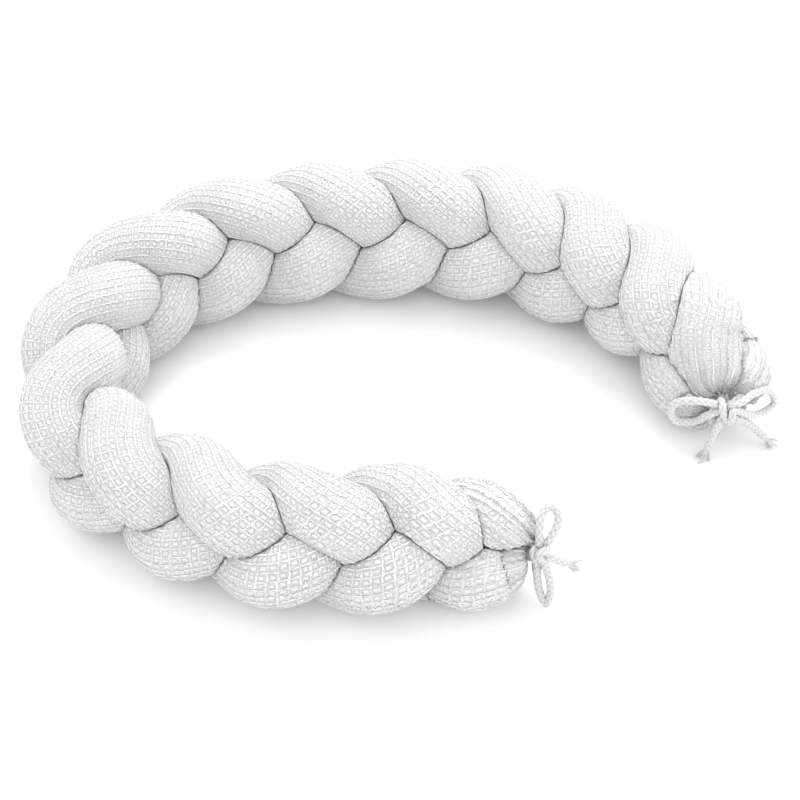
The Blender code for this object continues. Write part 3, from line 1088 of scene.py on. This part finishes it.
@dataclass
class Tie:
    """A cord that goes round a gathered end and is tied in a bow, all in one length.

    Attributes:
        name: Name of the piece.
        node: The CAD node that it stands for.
        end: The end of the plait.
        cord: The cord's material.
        yarn: The material of its loose yarns.
        before: The spots from the tip of the first tail, through the first loop, to the wrap.
        after: The spots from the wrap, through the knot and the second loop, to the end.
        wrap_from: Where the wrap starts round the end, in degrees.
        wrap_to: Where it stops.
        frayed: Whether the cord starts, and whether it ends, in loose yarns.
        wrap_radius: Radius of the wrap.
        wrap_out: How far the wrap lies beyond the end of the plait.
        sides: Mesh sides round the cord.
        step: Distance between two rings.
        plaits_round: Strands of the braid that show round the cord.
        plait_length: Length of a stitch of the braid.
        relief: Depth of its grooves.
        passing: How far apart along the cord two places are before they press on each other.
        touching: Half the gap that is left where they do.
        squashed: Smallest share of the cord's radius that is left there.
        rounding: How far the edge of a squashed place is rounded.
        crossing: How sharply one strand of the braid goes under the next.
        tip_share: Share of the cord's radius at a frayed end.
        tip_length: Length over which it thins to that.
    """

    name: str
    node: Node
    end: EndFrame
    cord: bpy.types.Material
    yarn: bpy.types.Material
    before: tuple[Spot, ...]
    after: tuple[Spot, ...]
    wrap_from: float
    wrap_to: float
    frayed: tuple[bool, bool]
    wrap_radius: float = 18.0
    wrap_out: float = -1.0
    sides: int = 24
    step: float = 0.6 * MM
    plaits_round: int = 4
    plait_length: float = 6.6 * MM
    relief: float = 0.8 * MM
    passing: float = 13.0 * MM
    touching: float = 0.05 * MM
    squashed: float = 0.45
    rounding: float = 0.6 * MM
    crossing: float = 0.3
    tip_share: float = 0.78
    tip_length: float = 4.0 * MM

    def wrap(self) -> tuple[Spot, ...]:
        """Work out the turn of cord round the necks.

        Returns:
            Its spots, in the order of the cord.
        """
        radius = self.wrap_radius
        around = np.radians(np.linspace(self.wrap_from, self.wrap_to, WRAP_SPOTS))
        return tuple(Spot(self.wrap_out, radius * math.cos(turn), radius * math.sin(turn)) for turn in around)

    def path(self) -> np.ndarray:
        """Work out the whole cord, from one end to the other.

        Returns:
            Points one step apart.
        """
        out, across, up = (np.array(self.before + self.wrap() + self.after, dtype=float) * MM).T
        end = self.end
        route = end.start + out[:, None] * end.out + across[:, None] * end.across + up[:, None] * UP
        return eased(smooth_route(route, self.step), SOFTENED)

    def rings(self, path: np.ndarray) -> np.ndarray:
        """Put braided rings round the cord's path, pressed flat where it lies against itself.

        Args:
            path: The cord's points.

        Returns:
            The rings of points.
        """
        side, other_side = carried_frames(path, UP)
        angle = np.linspace(0.0, TURN, self.sides, endpoint=False)[None, :]
        rays = np.cos(angle)[..., None] * side[:, None] + np.sin(angle)[..., None] * other_side[:, None]
        length = along(path)
        reach = np.empty((len(path), self.sides))
        for i, (middle, ray) in enumerate(zip(path, rays)):
            others = path[np.abs(length - length[i]) > self.passing]
            reach[i] = meeting(middle, ray, others, self.touching)
        reach = np.maximum(reach, self.squashed * CORD_RADIUS)
        reach = soft_minimum(np.full_like(reach, CORD_RADIUS), reach, self.rounding)
        run = math.pi * length[:, None] / self.plait_length
        turn = 0.5 * self.plaits_round * angle
        one, other = np.sin(turn + run), np.sin(turn - run)
        over = np.clip(0.5 + one * other / self.crossing, 0.0, 1.0)
        crown = np.abs(one) * over + np.abs(other) * (1.0 - over)
        for cut, away in zip(self.frayed, (length, length[-1] - length)):
            if cut:
                whole = np.clip(away / self.tip_length, 0.0, 1.0)[:, None]
                reach *= self.tip_share + (1.0 - self.tip_share) * whole
        return path[:, None] + (reach - self.relief * (1.0 - crown))[..., None] * rays

    def build(self) -> list[bpy.types.Object]:
        """Make the tie.

        Returns:
            The cord and its loose yarns.
        """
        path = self.path()
        length = along(path)
        across = np.linspace(0.0, self.plaits_round, self.sides + 1)
        mesh = grid_mesh(self.name, self.rings(path), across, length / self.plait_length)
        piece = shown(self.name, mesh, self.cord)
        cuts = [(path[0], path[0] - path[4]), (path[-1], path[-1] - path[-5])]
        frays = [
            Fray(f"{self.name}_fray_{i + 1}", tip, unit(ahead), self.yarn).build()
            for i, (tip, ahead) in enumerate(cuts)
            if self.frayed[i]
        ]
        for thing in [piece, *frays]:
            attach(thing, BODY)
            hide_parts(self.node.value)
        LOG.info("%s is %.0f mm of cord", self.name, length[-1] / MM)
        return [piece, *frays]


@dataclass
class Fray:
    """The loose yarns at a cut end of the cord, parted into a few locks.

    Attributes:
        name: Name of the piece.
        tip: The middle of the cut end.
        ahead: The way that the cord points there.
        material: The yarn.
        locks: How many locks there are.
        yarns: Yarns in a lock.
        length: Length of the longest yarn.
        spread: How far a lock leans out, as a share of its length.
        radius: Radius of a yarn.
        root: How far inside the cord the yarns begin.
        curl: How far a yarn bows out along its way.
        parted: How far the yarns of a lock part at their tips.
        sides: Mesh sides round a yarn.
    """

    name: str
    tip: np.ndarray
    ahead: np.ndarray
    material: bpy.types.Material
    locks: int = 4
    yarns: int = 9
    length: float = 14.0 * MM
    spread: float = 0.45
    radius: float = 0.55 * MM
    root: float = 3.0 * MM
    curl: float = 0.8 * MM
    parted: float = 1.4 * MM
    sides: int = 6

    def line(self, lock: int, yarn: int) -> np.ndarray:
        """Work out one yarn.

        Args:
            lock: Which lock it is in.
            yarn: Which yarn of the lock.

        Returns:
            Its middle line.
        """
        side = unit(np.cross(self.ahead, UP))
        other = np.cross(side, self.ahead)
        lean = TURN * (lock + 0.35) / self.locks
        own = GOLDEN_TURN * (yarn + 0.5)
        share = math.sqrt((yarn + 0.5) / self.yarns)
        leaning = math.cos(lean) * side + math.sin(lean) * other
        beside = math.cos(own) * side + math.sin(own) * other
        reach = self.length * (0.8 + 0.2 * math.cos(2.3 * yarn + 1.7 * lock))
        t = np.linspace(0.0, 1.0, 8)[:, None]
        place = 0.4 * CORD_RADIUS * leaning + 0.35 * CORD_RADIUS * share * beside
        open_out = self.spread * (0.8 + 0.3 * math.sin(1.9 * lock)) * reach * t**1.3
        curl = self.curl * np.sin(math.pi * t) * math.cos(own + lock)
        line = self.tip - self.root * self.ahead + place + (reach + self.root) * t * self.ahead
        line = line + (open_out + curl) * leaning + self.parted * share * t * beside
        line[:, 2] = np.maximum(line[:, 2], self.radius)
        return line

    def build(self) -> bpy.types.Object:
        """Make the yarns as one piece.

        Returns:
            The piece.
        """
        sides = self.sides
        angle = np.linspace(0.0, TURN, sides, endpoint=False)[None, :, None]
        points, faces = [], []
        for lock in range(self.locks):
            for yarn in range(self.yarns):
                line = self.line(lock, yarn)
                side, other = carried_frames(line, unit(np.cross(self.ahead, UP)))
                thin = self.radius * np.linspace(1.0, 0.6, len(line))[:, None, None]
                rays = np.cos(angle) * side[:, None] + np.sin(angle) * other[:, None]
                rings = line[:, None] + thin * rays
                start = len(points)
                points.extend(map(tuple, rings.reshape(-1, 3)))
                for i in range(len(line) - 1):
                    for j in range(sides):
                        k = (j + 1) % sides
                        low, high = start + i * sides, start + (i + 1) * sides
                        faces.append((low + j, low + k, high + k, high + j))
                last = start + (len(line) - 1) * sides
                faces.append(tuple(range(last, last + sides)))
        mesh = bpy.data.meshes.new(self.name)
        mesh.from_pydata(points, [], faces)
        mesh.shade_smooth()
        return shown(self.name, mesh, self.material)


def bows(plait: Plait, cord: bpy.types.Material, yarn: bpy.types.Material) -> list[Tie]:
    """Describe the tie at each end.

    Args:
        plait: The plait.
        cord: The cord's material.
        yarn: The material of its loose yarns.

    Returns:
        The two ties.
    """
    far = Tie(
        name="bow_far",
        node=Node.TIE_FAR,
        end=end_frame(plait, far=True),
        cord=cord,
        yarn=yarn,
        frayed=(True, True),
        wrap_from=45.0,
        wrap_to=-230.0,
        before=(
            Spot(10, -22, -38), Spot(9.5, -18, -15.5), Spot(9.5, -13, 5), Spot(6, -9.5, 10),
            Spot(4, -14.5, 18), Spot(1.5, -24, 22.5), Spot(-2, -40, 28.5), Spot(-10, -51.5, 23.5),
            Spot(-15.5, -53.5, 7), Spot(-14.5, -43.5, -12), Spot(-9, -29, -12), Spot(1.5, -22.5, 5.5),
            Spot(7, -16, 14), Spot(5, -3, 14.5),
        ),
        after=(
            Spot(0, -11, 19), Spot(10.5, -15.5, 20.5), Spot(13, -12.5, 10), Spot(15, -8.5, 4.5),
            Spot(18, -8, 10), Spot(17, -8, 17), Spot(14.5, -4, 17), Spot(13.5, 6, 9),
            Spot(7, 36.5, -10), Spot(1, 52.5, -10.5), Spot(-0.5, 43.5, 10.5), Spot(3.5, 25, 19),
            Spot(11, 1, 20.5), Spot(10, -5.5, 18), Spot(9.5, -5, 9), Spot(12, 9, -3.5),
            Spot(14.5, 30, -27), Spot(19, 39.5, -38),
        ),
    )
    near = Tie(
        name="bow_near",
        node=Node.TIE_NEAR,
        end=end_frame(plait, far=False),
        cord=cord,
        yarn=yarn,
        frayed=(True, False),
        wrap_from=175.0,
        wrap_to=445.0,
        before=(
            Spot(26.5, -15, 1.5), Spot(15.5, -16, 7.5), Spot(6.5, -17, 15), Spot(0.5, -15.5, 20),
            Spot(-1.5, -12.5, 31.5), Spot(-1.5, -5, 43.5), Spot(1, 4, 50), Spot(7, 8.5, 51.5),
            Spot(14, 5, 46.5), Spot(14, -2, 40.5), Spot(9.5, -9, 33.5), Spot(4, -14, 26),
            Spot(-1, -14.5, 20), Spot(-5.5, -17.5, 24.5),
        ),
        after=(
            Spot(5, -12.5, 23), Spot(3.5, -21, 27.5), Spot(-0.5, -23, 27), Spot(-1.5, -22, 19.5),
            Spot(2.5, -20, 13.5), Spot(5.5, -19.5, 4), Spot(10, -22, -13), Spot(12, -25, -29.5),
            Spot(9, -29, -39.5), Spot(4, -24.5, -32.5), Spot(-0.5, -20, -13.5), Spot(-1.5, -18.5, 6.5),
            Spot(0.5, -19, 17.5),
        ),
    )
    return [far, near]


# ---------------------------------------------------------------- the studio


class Softbox(NamedTuple):
    """A soft square light that faces the object.

    Attributes:
        name: Its name.
        place: Where it stands.
        size: The length of its side.
        power: Its power in watts.
    """

    name: str
    place: tuple[float, float, float]
    size: float
    power: float


@dataclass
class Studio:
    """Camera, floor and lights.

    Attributes:
        elevation: How far the camera looks down, in degrees.
        distance: From the camera to the point on the floor that it looks at.
        focal_pixels: Its focal length, in pixels of the square photo.
        photo_pixels: The photo's width.
        floor: The floor's finish.
        floor_half: Half the length of its side.
        floor_drop: How far it lies below what stands on it.
        surroundings: Strength of the even white light from all round.
        softboxes: The lights.
    """

    elevation: float = 47.5
    distance: float = 1.470
    focal_pixels: float = 1470.0
    photo_pixels: float = 800.0
    floor: FloorFinish = FloorFinish()
    floor_half: float = 4.0
    floor_drop: float = 0.2 * MM
    surroundings: float = 1.35
    softboxes: tuple[Softbox, ...] = (
        Softbox("back_softbox", (0.1, 1.4, 1.9), 1.2, 26.0),
        Softbox("right_softbox", (1.5, -0.5, 1.0), 1.0, 3.2),
    )

    def camera(self) -> None:
        """Add the camera at the photo's viewing angle."""
        tilt = math.radians(self.elevation)
        data = bpy.data.cameras.new("camera")
        data.sensor_width = 36.0
        data.lens = data.sensor_width * self.focal_pixels / self.photo_pixels
        data.clip_end = 50.0
        camera = bpy.data.objects.new("camera", data)
        target = Vector((-MIDDLE[0] * MM, -MIDDLE[1] * MM, 0.0))
        back = Vector((0.0, -math.cos(tilt), math.sin(tilt)))
        camera.location = target + self.distance * back
        camera.rotation_euler = (-back).to_track_quat("-Z", "Y").to_euler()
        bpy.context.scene.collection.objects.link(camera)
        bpy.context.scene.camera = camera

    def ground(self) -> None:
        """Add the floor."""
        half = self.floor_half
        mesh = bpy.data.meshes.new("floor")
        corners = [(-half, -half, 0.0), (half, -half, 0.0), (half, half, 0.0), (-half, half, 0.0)]
        mesh.from_pydata(corners, [], [(0, 1, 2, 3)])
        floor = shown("floor", mesh, self.floor.material())
        floor.location.z = -self.floor_drop

    def light(self, softbox: Softbox) -> None:
        """Add a light.

        Args:
            softbox: What it is.
        """
        data = bpy.data.lights.new(softbox.name, "AREA")
        data.shape = "SQUARE"
        data.size = softbox.size
        data.energy = softbox.power
        lamp = bpy.data.objects.new(softbox.name, data)
        lamp.location = softbox.place
        lamp.rotation_euler = (-Vector(softbox.place)).to_track_quat("-Z", "Y").to_euler()
        bpy.context.scene.collection.objects.link(lamp)

    def world(self) -> None:
        """Add the even white surroundings."""
        world = bpy.data.worlds.new("studio")
        world.use_nodes = True
        background = world.node_tree.nodes["Background"]
        background.inputs["Color"].default_value = (1.0, 1.0, 1.0, 1.0)
        background.inputs["Strength"].default_value = self.surroundings
        bpy.context.scene.world = world

    def build(self) -> None:
        """Add floor and lights."""
        self.ground()
        self.world()
        for softbox in self.softboxes:
            self.light(softbox)
        view = bpy.context.scene.view_settings
        view.view_transform = "Standard"
        view.look = "None"


def main() -> None:
    """Build the scene in order, and report each piece."""
    logging.basicConfig(level=logging.INFO, format="%(name)s: %(message)s")
    LOG.info("%d packed nodes", len(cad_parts))
    studio = Studio()
    studio.camera()
    lint = lint_group()
    plait = plait_axis()
    cord = CordFinish().material(lint)
    pieces = []
    for tie in bows(plait, cord, YarnFinish().material(lint)):
        pieces += tie.build()
    pieces += Strands(plait, ClothFinish().material(lint)).build()
    studio.build()
    for piece in pieces:
        LOG.info("%s: %d faces", piece.name, len(piece.data.polygons))


if __name__ == "__main__":
    main()
